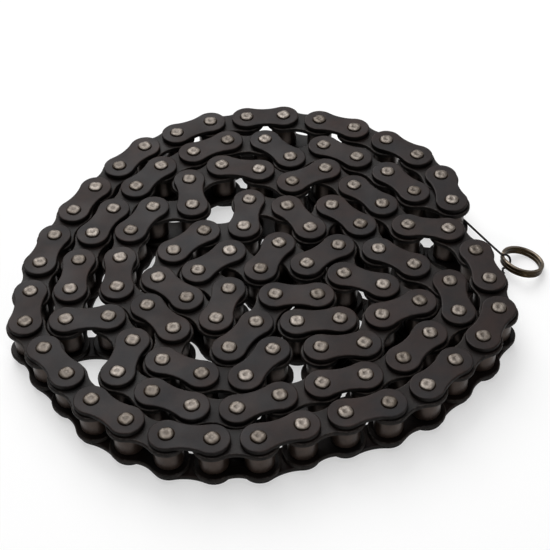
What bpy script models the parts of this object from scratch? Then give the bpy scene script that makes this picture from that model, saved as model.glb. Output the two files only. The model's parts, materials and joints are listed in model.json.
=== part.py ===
"""Endless motorcycle roller chain of 114 links, coiled flat on its side, with a tie wire and a ring.

The chain lies on its side, so every pin, bush and roller stands along Z.  Eight links of the outer
turn are built piece by piece and hinge outwards; the rest of the coil is made of runs of joined
links.  Link n joins pin n - 1 to pin n: links with an odd number are inner (roller) links, and those
with an even number are outer (pin) links.
"""
import math

import bmesh
import bpy
import numpy as np
from mathutils import Matrix, Vector

# Driving dimensions of the chain, in metres.
PITCH = 0.0127
LINKS = 114
INNER_WIDTH = 0.00785        # clear width between the inner plates
PLATE_T = 0.0015
PLATE_GAP = 0.0002           # side play between an inner and an outer plate
INNER_LOBE_R = 0.0059
INNER_WAIST = 0.00438        # half height of the inner plate at its middle
OUTER_LOBE_R = 0.00518
OUTER_WAIST = 0.00413
ROLLER_R = 0.004255
BUSH_R = 0.00305
PIN_R = 0.0022
PIN_HEAD_R = 0.00275
PIN_HEAD_H = 0.0005
RUNNING_GAP = 0.0002         # radial play of a roller on its bush and of a bush on its pin
SEAT_GAP = 0.00025           # round a bush or a pin in its plate
HEAD_GAP = 0.00015           # between an outer plate and the riveted head

# Heights, from the chain's middle plane.
INNER_PLATE_Z = INNER_WIDTH / 2 + PLATE_T / 2
OUTER_PLATE_Z = INNER_PLATE_Z + PLATE_T + PLATE_GAP
PIN_HALF = OUTER_PLATE_Z + PLATE_T / 2 + HEAD_GAP + PIN_HEAD_H
MIDDLE_Z = PIN_HALF          # the pin heads stand on the surface

# How the coil is divided: hinged links, then runs of joined links.
HINGED_LINKS = 8
RUNS = 17

# Lay of the coil.  Pins keep this distance, and the middle of an inner link keeps the other.
STRAND_GAP = 0.00025
PIN_SPACING = 2 * INNER_LOBE_R + STRAND_GAP
WAIST_SPACING = INNER_LOBE_R + INNER_WAIST + STRAND_GAP
SETTLING_STEPS = 1500

# Waypoints of the lay: (pin number, x, y), in pitches from the coil's centre.
# The strand runs straight from one to the next, and settling then gives each link its pitch.
WAYPOINTS = (
    # outer turn, clockwise from the front
    (0, -0.1, -5.5), (2, -2.1, -5.4), (3, -3.0, -5.0), (5, -4.4, -3.5),
    (7, -5.6, -1.9), (10, -5.2, 1.2), (12, -4.2, 3.0), (14, -3.0, 4.6), (16, -1.3, 5.5),
    (18, 0.7, 5.8), (20, 2.8, 5.0), (22, 4.3, 3.7), (24, 4.9, 1.8),
    # back inside it, anticlockwise
    (25, 4.1, 2.5), (28, 1.9, 4.3), (29, 0.7, 3.8), (30, 0.2, 4.6), (31, -0.8, 4.7), (33, -2.5, 3.7),
    (35, -3.6, 2.1), (37, -4.6, 0.1), (39, -4.7, -1.9), (40, -3.3, -1.8), (41, -3.1, -2.5),
    (42, -3.4, -3.5), (44, -1.7, -4.6), (45, -0.5, -4.7), (48, 2.3, -3.8), (49, 3.4, -3.4),
    (51, 4.9, -2.0),
    # folds across the middle
    (52, 4.5, -1.0), (54, 3.0, 0.2), (56, 1.9, 1.8), (57, 1.3, 0.9), (58, 0.7, 1.9), (59, -0.2, 2.1),
    (60, -0.3, 1.0), (62, -2.1, 0.4), (63, -2.5, -0.6), (65, -1.0, -1.9), (66, -0.7, -1.0),
    (67, -1.5, -0.4), (68, -0.6, 0.3), (69, -0.1, -0.3), (70, 0.7, 0.6), (71, 1.2, -0.3),
    (72, 1.9, 0.4), (73, 2.0, -0.6), (74, 2.8, -1.1), (75, 3.8, -1.6), (76, 2.8, -2.0),
    (77, 2.4, -2.9), (78, 1.3, -3.0),
    # tight zigzag at the centre
    (79, 1.8, -2.2), (80, 0.8, -2.2), (81, 1.3, -1.4), (82, 0.4, -1.2), (84, -0.6, -2.9),
    (85, 0.3, -2.8), (86, -0.5, -3.9),
    # third turn, clockwise, and out to the front again
    (88, -2.3, -3.2), (89, -2.2, -2.2), (91, -3.5, -1.0), (92, -3.4, 0.1), (93, -3.3, 1.1),
    (94, -2.7, 2.1), (95, -1.7, 2.1), (96, -1.8, 3.1), (97, -0.9, 3.6), (98, 0.0, 3.4),
    (99, 0.9, 2.9), (100, 1.8, 3.3), (103, 3.7, 1.1), (104, 4.7, 0.9), (105, 5.2, 0.2),
    (107, 5.4, -1.7), (110, 3.6, -4.1),
)

# Tie wire, hooked round one roller at each end, and the ring that it passes through.
WIRE_R = 0.00035
WIRE_Z = 0.0045
WIRE_GAP = 0.0004
WIRE_PINS = (24, 106)
HOOK_ARCS = ((170, 28), (8, -140))          # directions round each roller, in degrees
HOOK_STEPS = 6
GRIP_LEANS = range(105, -106, -30)          # directions round the ring's section, in degrees
GRIP_SPREAD = 0.0009                        # sideways, between the wire's two ends at the ring
RING_R = 0.00645             # to the middle of the ring's section
RING_T = 0.0012              # thickness of the ring's wall
RING_H = 0.0024              # along the ring's axis: two turns of wire
RING_CHAMFER = 0.0003
RING_OFFSET = Vector((0.0211, -0.0174))     # from the first hooked pin to the ring's centre
RING_LEAN = math.radians(16)                # from lying flat
RING_LEAN_TOWARDS = math.radians(30)        # direction of its lowest point
RING_GRIP_ANGLE = math.radians(163)         # from its lowest point to where the wire holds it

# Facets: steps of a lobe's arc and of a waist's arc, and sides of each round shape.
LOBE_STEPS = 6
WAIST_STEPS = 2
HOLE_SIDES = 8
TURNED_SIDES = 10
COLUMN_SIDES = 6
RING_SIDES = 20

# Outline of a run's band of plates.
LOBE_SPREAD = math.radians(30)       # a lobe's corners, either side of the link's square direction
LOBE_STEP = math.radians(62)         # largest angle between two corners of a lobe
FOLD_BEND = math.radians(105)        # a sharper bend leaves no room for the waists inside it


# --- scene and materials -----------------------------------------------------------------------

def clear_scene():
    for obj in list(bpy.data.objects):
        bpy.data.objects.remove(obj, do_unlink=True)


def make_material(name, colour, roughness, metallic):
    material = bpy.data.materials.new(name)
    material.use_nodes = True
    shader = material.node_tree.nodes["Principled BSDF"]
    shader.inputs["Base Color"].default_value = (*colour, 1.0)
    shader.inputs["Roughness"].default_value = roughness
    shader.inputs["Metallic"].default_value = metallic
    return material


def make_collection(name):
    collection = bpy.data.collections.new(name)
    bpy.context.scene.collection.children.link(collection)
    return collection


def add_object(name, data, material=None, parent=None, location=(0, 0, 0)):
    obj = bpy.data.objects.new(name, data)
    PARTS.objects.link(obj)
    obj.parent = parent
    obj.location = location
    if material and not data.materials:
        data.materials.append(material)
    return obj


def shade_round(mesh):
    mesh.shade_smooth()
    mesh.set_sharp_from_angle(angle=math.radians(50))


# --- lay of the coil ---------------------------------------------------------------------------

def pins_on_waypoints():
    """Pin places along the straight strands between the waypoints."""
    pins = np.zeros((LINKS, 2))
    for (first, x0, y0), (last, x1, y1) in zip(WAYPOINTS, WAYPOINTS[1:] + WAYPOINTS[:1]):
        links = (last - first) % LINKS
        for step in range(links):
            share = step / links
            pins[(first + step) % LINKS] = (x0 + (x1 - x0) * share, y0 + (y1 - y0) * share)
    return pins * PITCH


def hold_pitch(pins):
    """Bring the pins of each link one pitch apart."""
    for kind in (0, 1):
        near = np.arange(kind, LINKS, 2)
        far = (near + 1) % LINKS
        span = pins[far] - pins[near]
        length = np.linalg.norm(span, axis=1, keepdims=True)
        shift = span * (length - PITCH) / length / 2
        pins[near] += shift
        pins[far] -= shift


def spread(pins, one, near, far, distance):
    """Move pins `one` away from the points midway between pins `near` and `far`, to `distance`."""
    gap = (pins[near] + pins[far]) / 2 - pins[one]
    length = np.linalg.norm(gap, axis=1)
    close = length < distance
    one, near, far = one[close], near[close], far[close]
    push = gap[close] * ((distance / length[close] - 1) / 2)[:, None]
    move = np.zeros_like(pins)
    hits = np.zeros(LINKS)
    for pin, step in ((one, -push), (near, push), (far, push)):
        np.add.at(move, pin, step / 2)
        np.add.at(hits, pin, 0.5)
    pins += move / np.maximum(hits, 0.5)[:, None]


def lay_out_pins():
    """Pin places in the settled coil: exact pitch, and no plate touching another strand's."""
    pins = pins_on_waypoints()
    one, other = np.triu_indices(LINKS, 2)
    apart = other - one < LINKS - 1
    one, other = one[apart], other[apart]
    pin, near = np.meshgrid(np.arange(LINKS), np.arange(0, LINKS, 2), indexing="ij")
    foreign = (pin != near) & (pin != near + 1)
    pin, near = pin[foreign], near[foreign]
    for _ in range(SETTLING_STEPS):
        hold_pitch(pins)
        spread(pins, one, other, other, PIN_SPACING)
        spread(pins, pin, near, near + 1, WAIST_SPACING)
    hold_pitch(pins)
    return pins - (pins.min(axis=0) + pins.max(axis=0)) / 2


# --- outlines and meshes -----------------------------------------------------------------------

def arc(centre, radius, start, end, steps):
    """Points on an arc, its two ends included."""
    angles = [start + (end - start) * step / steps for step in range(steps + 1)]
    return [(centre[0] + radius * math.cos(a), centre[1] + radius * math.sin(a)) for a in angles]


def plate_outline(lobe_r, waist):
    """Figure of eight along X: two round lobes a pitch apart, with concave arcs down to the waist."""
    half = PITCH / 2
    hollow_r = (half ** 2 + waist ** 2 - lobe_r ** 2) / (2 * (lobe_r - waist))
    hollow_y = waist + hollow_r
    lean = math.atan2(hollow_y, half)
    right = arc((half, 0), lobe_r, lean - math.pi, math.pi - lean, LOBE_STEPS)
    top = arc((0, hollow_y), hollow_r, -lean, lean - math.pi, WAIST_STEPS)[1:-1]
    half_outline = right + top
    return half_outline + [(-x, -y) for x, y in half_outline]


def circle(centre, inner_r, sides):
    """Polygon that a circle of radius inner_r fits inside."""
    corner_r = inner_r / math.cos(math.pi / sides)
    return arc(centre, corner_r, 0, 2 * math.pi, sides)[:-1]


def extruded_mesh(name, outlines, z_low, z_high):
    """Mesh of a flat shape: the first outline is its edge, and the others are its holes."""
    data = bpy.data.curves.new(name, "CURVE")
    data.dimensions = "2D"
    data.fill_mode = "BOTH"
    data.extrude = (z_high - z_low) / 2
    for outline in outlines:
        spline = data.splines.new("POLY")
        spline.points.add(len(outline) - 1)
        for point, (x, y) in zip(spline.points, outline):
            point.co = (x, y, 0, 1)
        spline.use_cyclic_u = True
    guide = bpy.data.objects.new(name, data)
    bpy.context.scene.collection.objects.link(guide)
    mesh = bpy.data.meshes.new_from_object(guide.evaluated_get(bpy.context.evaluated_depsgraph_get()))
    bpy.data.objects.remove(guide)
    shape = bmesh.new()
    shape.from_mesh(mesh)
    bmesh.ops.remove_doubles(shape, verts=shape.verts, dist=1e-7)
    bmesh.ops.translate(shape, verts=shape.verts, vec=(0, 0, (z_low + z_high) / 2))
    shape.to_mesh(mesh)
    shape.free()
    mesh.name = name
    return mesh


def joined_mesh(name, meshes):
    """One mesh holding several separate shapes."""
    shape = bmesh.new()
    for mesh in meshes:
        shape.from_mesh(mesh)
    joined = bpy.data.meshes.new(name)
    shape.to_mesh(joined)
    shape.free()
    return joined


def mirrored_pair(name, mesh):
    """The mesh and its mirror image below the middle plane, as one mesh of two shapes."""
    shape = bmesh.new()
    shape.from_mesh(mesh)
    bmesh.ops.transform(shape, matrix=Matrix.Scale(-1, 4, (0, 0, 1)), verts=shape.verts)
    bmesh.ops.reverse_faces(shape, faces=shape.faces)
    mirrored = bpy.data.meshes.new(name)
    shape.to_mesh(mirrored)
    shape.free()
    return joined_mesh(name, (mesh, mirrored))


def turned(name, profile, closed, material, parent, location, sides=TURNED_SIDES):
    """Turned piece: a profile of (radius, height) points, down its outer side, swept by a Screw."""
    edges = [(k, k + 1) for k in range(len(profile) - 1)]
    if closed:
        edges.append((len(profile) - 1, 0))
    mesh = bpy.data.meshes.new(name)
    mesh.from_pydata([(radius, 0, height) for radius, height in profile], edges, [])
    obj = add_object(name, mesh, material, parent, location)
    screw = obj.modifiers.new("Turn", "SCREW")
    screw.steps = sides
    screw.render_steps = sides
    screw.use_merge_vertices = True
    screw.merge_threshold = 1e-6
    screw.use_smooth_shade = True
    return obj


def tube_profile(outer_r, inner_r, half_height):
    return [(outer_r, half_height), (outer_r, -half_height),
            (inner_r, -half_height), (inner_r, half_height)]


def headed_profile(z_low, z_high, low_head, high_head):
    """Pin from z_low to z_high, with a riveted head at either end."""
    top = [(0, z_high)]
    if high_head:
        top += [(PIN_HEAD_R, z_high), (PIN_HEAD_R, z_high - PIN_HEAD_H), (PIN_R, z_high - PIN_HEAD_H)]
    else:
        top += [(PIN_R, z_high)]
    bottom = [(PIN_R, z_low)]
    if low_head:
        bottom = [(PIN_R, z_low + PIN_HEAD_H), (PIN_HEAD_R, z_low + PIN_HEAD_H), (PIN_HEAD_R, z_low)]
    return top + bottom + [(0, z_low)]


# --- hinged links ------------------------------------------------------------------------------

def link_frames(pins):
    """One empty for each hinged link, at its hinge pin, with X along the link."""
    frames = []
    heading = 0.0
    for pin in range(HINGED_LINKS):
        dx, dy = pins[pin + 1] - pins[pin]
        angle = math.atan2(dy, dx)
        if frames:
            frame = add_object(f"hinge_{pin + 1}", None, parent=frames[-1], location=(PITCH, 0, 0))
        else:
            frame = add_object("hinge_1", None, parent=CHAIN, location=(*pins[0], MIDDLE_Z))
        frame.rotation_euler.z = angle - heading
        heading = angle
        frames.append(frame)
    return frames


def add_plates(prefix, mesh, frame, height):
    for side, z in (("top", height), ("bottom", -height)):
        add_object(f"{prefix}_plate_{side}", mesh, PLATE_STEEL, frame, (PITCH / 2, 0, z))


def add_inner_link(number, frame, plate):
    """Two plates, the two bushes pressed into them, and a free roller on each bush."""
    prefix = f"link_{number}_inner"
    add_plates(prefix, plate, frame, INNER_PLATE_Z)
    bush_bore = (PIN_R + RUNNING_GAP) / math.cos(math.pi / TURNED_SIDES)
    roller_bore = (BUSH_R + RUNNING_GAP) / math.cos(math.pi / TURNED_SIDES)
    for end, x in (("a", 0), ("b", PITCH)):
        turned(f"{prefix}_bush_{end}", tube_profile(BUSH_R, bush_bore, INNER_WIDTH / 2 + PLATE_T),
               True, BUSH_STEEL, frame, (x, 0, 0))
        hub = add_object(f"roller_axis_{number}{end}", None, parent=frame, location=(x, 0, 0))
        turned(f"link_{number}_roller_{end}",
               tube_profile(ROLLER_R, roller_bore, INNER_WIDTH / 2 - PLATE_GAP),
               True, ROLLER_STEEL, hub, (0, 0, 0))


def add_outer_link(number, frame, plate, last):
    """Two plates and two riveted pins; the last link's far pin is only its two ends."""
    prefix = f"link_{number}_outer"
    add_plates(prefix, plate, frame, OUTER_PLATE_Z)
    whole = headed_profile(-PIN_HALF, PIN_HALF, True, True)
    turned(f"{prefix}_pin_a", whole, False, PIN_STEEL, frame, (0, 0, 0))
    if not last:
        turned(f"{prefix}_pin_b", whole, False, PIN_STEEL, frame, (PITCH, 0, 0))
        return
    inner_end = OUTER_PLATE_Z - PLATE_T / 2
    turned(f"{prefix}_pin_b_top", headed_profile(inner_end, PIN_HALF, False, True),
           False, PIN_STEEL, frame, (PITCH, 0, 0))
    turned(f"{prefix}_pin_b_bottom", headed_profile(-PIN_HALF, -inner_end, True, False),
           False, PIN_STEEL, frame, (PITCH, 0, 0))


def add_hinged_links(pins):
    ends = ((-PITCH / 2, 0), (PITCH / 2, 0))
    inner_holes = [circle(end, BUSH_R + SEAT_GAP, HOLE_SIDES) for end in ends]
    outer_holes = [circle(end, PIN_R + SEAT_GAP, HOLE_SIDES) for end in ends]
    inner_plate = extruded_mesh("inner_plate", [plate_outline(INNER_LOBE_R, INNER_WAIST)] + inner_holes,
                                -PLATE_T / 2, PLATE_T / 2)
    outer_plate = extruded_mesh("outer_plate", [plate_outline(OUTER_LOBE_R, OUTER_WAIST)] + outer_holes,
                                -PLATE_T / 2, PLATE_T / 2)
    for number, frame in enumerate(link_frames(pins), start=1):
        if number % 2:
            add_inner_link(number, frame, inner_plate)
        else:
            add_outer_link(number, frame, outer_plate, number == HINGED_LINKS)


# --- runs of joined links ----------------------------------------------------------------------

def headings(points):
    """Direction of each stretch, unwrapped so that neighbours differ by the bend between them."""
    spans = np.diff(points, axis=0)
    return np.unwrap(np.arctan2(spans[:, 1], spans[:, 0]))


def lobe_corners(centre, start, end):
    """Corners of a lobe from one direction round to another."""
    steps = max(1, math.ceil(abs(end - start) / LOBE_STEP - 1e-6))
    return arc(centre, INNER_LOBE_R, start, end, steps)


def waist_corner(here, there, square):
    """Corner at the waist between two pins, on the side that direction `square` points to."""
    middle = (here + there) / 2
    return (middle[0] + OUTER_WAIST * math.cos(square), middle[1] + OUTER_WAIST * math.sin(square))


def band_side(points, angles, side):
    """Corners along one side of a band of plates, between its first pin and its last."""
    square = side * math.pi / 2
    folded = [False] * len(points)
    corners = [[] for _ in points]
    for k in range(1, len(points) - 1):
        bend = side * (angles[k] - angles[k - 1])
        folded[k] = bend > FOLD_BEND
        before = angles[k - 1] + square
        after = angles[k] + square
        if bend < 2 * LOBE_SPREAD:
            corners[k] = lobe_corners(points[k], before + side * LOBE_SPREAD, after - side * LOBE_SPREAD)
        else:
            corners[k] = arc(points[k], INNER_LOBE_R, (before + after) / 2, 0, 1)[:1]
    line = []
    for k, angle in enumerate(angles):
        line += corners[k]
        if not (folded[k] or folded[k + 1]):
            line.append(waist_corner(points[k], points[k + 1], angle + square))
    return line


def band_outline(points):
    """Outline of a band of plates through the given pins, with a lobe round each pin."""
    angles = headings(points)
    reach = math.pi / 2 + LOBE_SPREAD
    far_end = lobe_corners(points[-1], angles[-1] + reach, angles[-1] - reach)
    near_end = lobe_corners(points[0], angles[0] + math.pi + reach, angles[0] + math.pi - reach)
    left = band_side(points, angles, 1)
    right = band_side(points, angles, -1)
    return left + far_end + right[::-1] + near_end


def placed_plate(name, start, end, lobe_r, waist, z_low, z_high):
    """Solid plate, without holes, from one pin to the next."""
    mesh = extruded_mesh(name, [plate_outline(lobe_r, waist)], z_low, z_high)
    middle = (start + end) / 2
    angle = math.atan2(end[1] - start[1], end[0] - start[0])
    mesh.transform(Matrix.Translation((*middle, 0)) @ Matrix.Rotation(angle, 4, "Z"))
    return mesh


def round_column(name, centre, radius, sides, half_height):
    """Prism through the middle plane: a roller on its bush, or a pin."""
    outline = arc(centre, radius, 0, 2 * math.pi, sides)[:-1]
    return extruded_mesh(name, [outline], -half_height, half_height)


def joined_by_union(name, base, additions):
    """Union of one mesh with the others; the added shapes are cutters and go afterwards."""
    body = bpy.data.objects.new(name, base)
    CUTTERS.objects.link(body)
    cutters = [body]
    for addition in additions:
        cutter = bpy.data.objects.new(f"{name}_cutter", addition)
        CUTTERS.objects.link(cutter)
        union = body.modifiers.new("Union", "BOOLEAN")
        union.operation = "UNION"
        union.solver = "EXACT"
        union.object = cutter
        cutters.append(cutter)
    for cutter in cutters:
        cutter.hide_render = True
        cutter.display_type = "WIRE"
    evaluated = body.evaluated_get(bpy.context.evaluated_depsgraph_get())
    mesh = bpy.data.meshes.new_from_object(evaluated)
    for cutter in cutters:
        bpy.data.objects.remove(cutter)
    mesh.name = name
    return mesh


def add_run(number, points, hinge_pin):
    """A run of links joined in one solid.

    Between its second pin and its last but one, inner and outer plates form one band.  The first link
    is a thinner inner plate, which the run before overlies, and the last an outer plate over the next.
    """
    inner_face = INNER_WIDTH / 2
    outer_face = PIN_HALF - PIN_HEAD_H - HEAD_GAP
    local = points - points[0]
    name = f"coil_run_{number:02d}"
    band = extruded_mesh("band", [band_outline(local[1:-1])], inner_face, outer_face)
    first = placed_plate("first", local[0], local[1], INNER_LOBE_R, INNER_WAIST,
                         inner_face, inner_face + PLATE_T)
    last = placed_plate("last", local[-2], local[-1], OUTER_LOBE_R, OUTER_WAIST,
                        outer_face - PLATE_T, outer_face)
    columns = [round_column("column", pin, ROLLER_R, COLUMN_SIDES, inner_face + PLATE_T / 3)
               for pin in local[:-1]]
    ends = [round_column("end", local[2], PIN_R, COLUMN_SIDES, PIN_HALF)]
    if hinge_pin:
        ends.append(round_column("hinge_pin", local[-1], PIN_R, TURNED_SIDES, PIN_HALF))
    else:
        head = extruded_mesh("head", [arc(local[-1], PIN_HEAD_R, 0, 2 * math.pi, COLUMN_SIDES)[:-1]],
                             outer_face - PLATE_T / 3, PIN_HALF)
        ends.append(mirrored_pair("head", head))
    plates = [mirrored_pair("plates", mesh) for mesh in (first, last)]
    mesh = joined_by_union(name, mirrored_pair("band", band),
                           plates + [joined_mesh("columns", columns), joined_mesh("ends", ends)])
    add_object(name, mesh, RUN_STEEL, CHAIN, (*points[0], MIDDLE_Z))


def add_runs(pins):
    pairs = (LINKS - HINGED_LINKS) // 2
    for run in range(RUNS):
        first = HINGED_LINKS + 2 * (run * pairs // RUNS)
        last = HINGED_LINKS + 2 * ((run + 1) * pairs // RUNS)
        points = pins[np.arange(first, last + 1) % LINKS]
        add_run(run + 1, points, hinge_pin=(run == RUNS - 1))


# --- tie wire and ring -------------------------------------------------------------------------

def hook_points(pin, start, end):
    """Wire's path round a roller, between two directions given in degrees."""
    radius = ROLLER_R + WIRE_GAP + WIRE_R
    path = arc(pin, radius, math.radians(start), math.radians(end), HOOK_STEPS)
    return [(x, y, WIRE_Z) for x, y in path]


def ring_frame():
    """The ring's own directions: X towards its lowest point, and Z along its axis."""
    return Matrix.Rotation(RING_LEAN_TOWARDS, 4, "Z") @ Matrix.Rotation(RING_LEAN, 4, "Y")


def ring_places(pins):
    """The ring's centre, and the middle of its section where the wire holds it."""
    middle = Vector(pins[WIRE_PINS[0]]) + RING_OFFSET
    reach = RING_R + RING_T / 2 - RING_CHAMFER
    height = reach * math.sin(RING_LEAN) + RING_H / 2 * math.cos(RING_LEAN)
    centre = Vector((middle.x, middle.y, height))
    spoke = Vector((math.cos(RING_GRIP_ANGLE), math.sin(RING_GRIP_ANGLE), 0)) * RING_R
    return centre, centre + ring_frame().to_3x3() @ spoke


def grip_points(centre, grip):
    """Wire's path over the ring's section, down inside the ring and back below it."""
    radius = math.hypot(RING_T / 2, RING_H / 2) + WIRE_GAP / 2 + WIRE_R
    inward = (centre - grip).xy.normalized()
    sideways = Vector((-inward.y, inward.x))
    points = []
    for angle in GRIP_LEANS:
        lean = math.radians(angle)
        place = grip.xy + inward * radius * math.cos(lean) + sideways * GRIP_SPREAD * math.sin(lean)
        points.append((*place, grip.z + radius * math.sin(lean)))
    return points


def add_tie_wire(pins, centre, grip):
    """Steel wire from a hook round one roller, through the ring, to a hook round another."""
    path = hook_points(pins[WIRE_PINS[0]], *HOOK_ARCS[0])
    path += grip_points(centre, grip)
    path += hook_points(pins[WIRE_PINS[1]], *HOOK_ARCS[1])
    data = bpy.data.curves.new("tie_wire", "CURVE")
    data.dimensions = "3D"
    data.bevel_depth = WIRE_R
    data.bevel_resolution = 1
    data.use_fill_caps = True
    spline = data.splines.new("POLY")
    spline.points.add(len(path) - 1)
    for point, place in zip(spline.points, path):
        point.co = (*place, 1)
    add_object("tie_wire", data, WIRE_STEEL, CHAIN)


def add_ring(grip):
    """Small ring: held by the wire at one side, and resting on the surface at the other."""
    hinge = add_object("ring_hinge", None, parent=CHAIN, location=grip)
    turn = Matrix.Rotation(RING_GRIP_ANGLE - math.pi, 4, "Z")
    hinge.rotation_euler = (ring_frame() @ turn).to_euler()
    half_t, half_h = RING_T / 2, RING_H / 2
    corner_t, corner_h = half_t - RING_CHAMFER, half_h - RING_CHAMFER
    section = [(half_t, corner_h), (half_t, -corner_h), (corner_t, -half_h), (-corner_t, -half_h),
               (-half_t, -corner_h), (-half_t, corner_h), (-corner_t, half_h), (corner_t, half_h)]
    turned("ring", [(RING_R + x, z) for x, z in section], True, RING_STEEL, hinge, (RING_R, 0, 0),
           sides=RING_SIDES)


# --- whole object ------------------------------------------------------------------------------

def stand_on_origin():
    """Move the whole chain so that its box stands centred on the origin."""
    bpy.context.view_layer.update()
    depsgraph = bpy.context.evaluated_depsgraph_get()
    corners = []
    for obj in PARTS.objects:
        if obj.type in {"MESH", "CURVE"}:
            evaluated = obj.evaluated_get(depsgraph)
            mesh = evaluated.to_mesh()
            corners += [evaluated.matrix_world @ vertex.co for vertex in mesh.vertices]
            evaluated.to_mesh_clear()
    low = Vector([min(corner[axis] for corner in corners) for axis in range(3)])
    high = Vector([max(corner[axis] for corner in corners) for axis in range(3)])
    CHAIN.location = (-(low.x + high.x) / 2, -(low.y + high.y) / 2, -low.z)
    bpy.context.view_layer.update()


clear_scene()
PARTS = make_collection("drive_chain")
CUTTERS = make_collection("cutters")
PLATE_STEEL = make_material("plate_steel", (0.055, 0.050, 0.052), 0.45, 0.9)
PIN_STEEL = make_material("pin_steel", (0.72, 0.69, 0.64), 0.28, 1.0)
BUSH_STEEL = make_material("bush_steel", (0.22, 0.20, 0.18), 0.35, 1.0)
ROLLER_STEEL = make_material("roller_steel", (0.16, 0.12, 0.09), 0.38, 1.0)
RUN_STEEL = make_material("coil_steel", (0.055, 0.050, 0.052), 0.45, 0.9)
WIRE_STEEL = make_material("wire_steel", (0.08, 0.07, 0.06), 0.45, 1.0)
RING_STEEL = make_material("ring_steel", (0.34, 0.27, 0.19), 0.35, 1.0)
CHAIN = add_object("chain", None)

pin_places = lay_out_pins()
add_hinged_links(pin_places)
add_runs(pin_places)
ring_centre, ring_grip = ring_places(pin_places)
add_tie_wire(pin_places, ring_centre, ring_grip)
add_ring(ring_grip)
for data in (obj.data for obj in PARTS.objects if obj.type == "MESH"):
    shade_round(data)
stand_on_origin()
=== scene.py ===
"""Looks of the coiled drive chain: every link in full, its materials, the tie wire and the ring.

The lay of the coil is worked out as for the CAD part, so each detailed link lies where the part's
links lie.  Lengths are in metres.  Link n joins pin n - 1 to pin n; links with an odd number are
inner (roller) links and those with an even number are outer (pin) links.
"""
import json
import math
import random

import bmesh
import bpy
import numpy as np
from mathutils import Matrix, Vector
from mathutils.geometry import tessellate_polygon


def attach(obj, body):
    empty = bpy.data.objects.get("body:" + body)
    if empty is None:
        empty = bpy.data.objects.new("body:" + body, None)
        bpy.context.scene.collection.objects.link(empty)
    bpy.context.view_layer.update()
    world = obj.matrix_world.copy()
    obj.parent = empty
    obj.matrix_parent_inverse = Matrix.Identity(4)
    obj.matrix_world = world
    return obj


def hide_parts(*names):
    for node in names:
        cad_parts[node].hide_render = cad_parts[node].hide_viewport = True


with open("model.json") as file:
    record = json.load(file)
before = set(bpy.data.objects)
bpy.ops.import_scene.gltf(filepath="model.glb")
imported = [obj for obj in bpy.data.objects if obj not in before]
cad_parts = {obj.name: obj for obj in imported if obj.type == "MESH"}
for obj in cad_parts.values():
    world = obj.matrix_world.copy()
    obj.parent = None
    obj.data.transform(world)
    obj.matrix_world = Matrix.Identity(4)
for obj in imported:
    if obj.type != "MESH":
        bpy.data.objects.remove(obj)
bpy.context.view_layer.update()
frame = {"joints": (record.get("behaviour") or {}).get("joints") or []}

# Driving dimensions of the chain, the same as the part's.
PITCH = 0.0127
LINKS = 114
INNER_WIDTH = 0.00785
PLATE_T = 0.0015
PLATE_GAP = 0.0002
INNER_LOBE_R = 0.0059
INNER_WAIST = 0.00438
OUTER_LOBE_R = 0.00518
OUTER_WAIST = 0.00413
ROLLER_R = 0.004255
BUSH_R = 0.00305
PIN_R = 0.0022
PIN_HEAD_H = 0.0005
HEAD_GAP = 0.00015
RUNNING_GAP = 0.0002
INNER_PLATE_Z = INNER_WIDTH / 2 + PLATE_T / 2
OUTER_PLATE_Z = INNER_PLATE_Z + PLATE_T + PLATE_GAP
OUTER_FACE_Z = OUTER_PLATE_Z + PLATE_T / 2
PIN_HALF = OUTER_FACE_Z + HEAD_GAP + PIN_HEAD_H
MIDDLE_Z = PIN_HALF

HINGED_LINKS = 8
RUNS = 17

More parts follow.
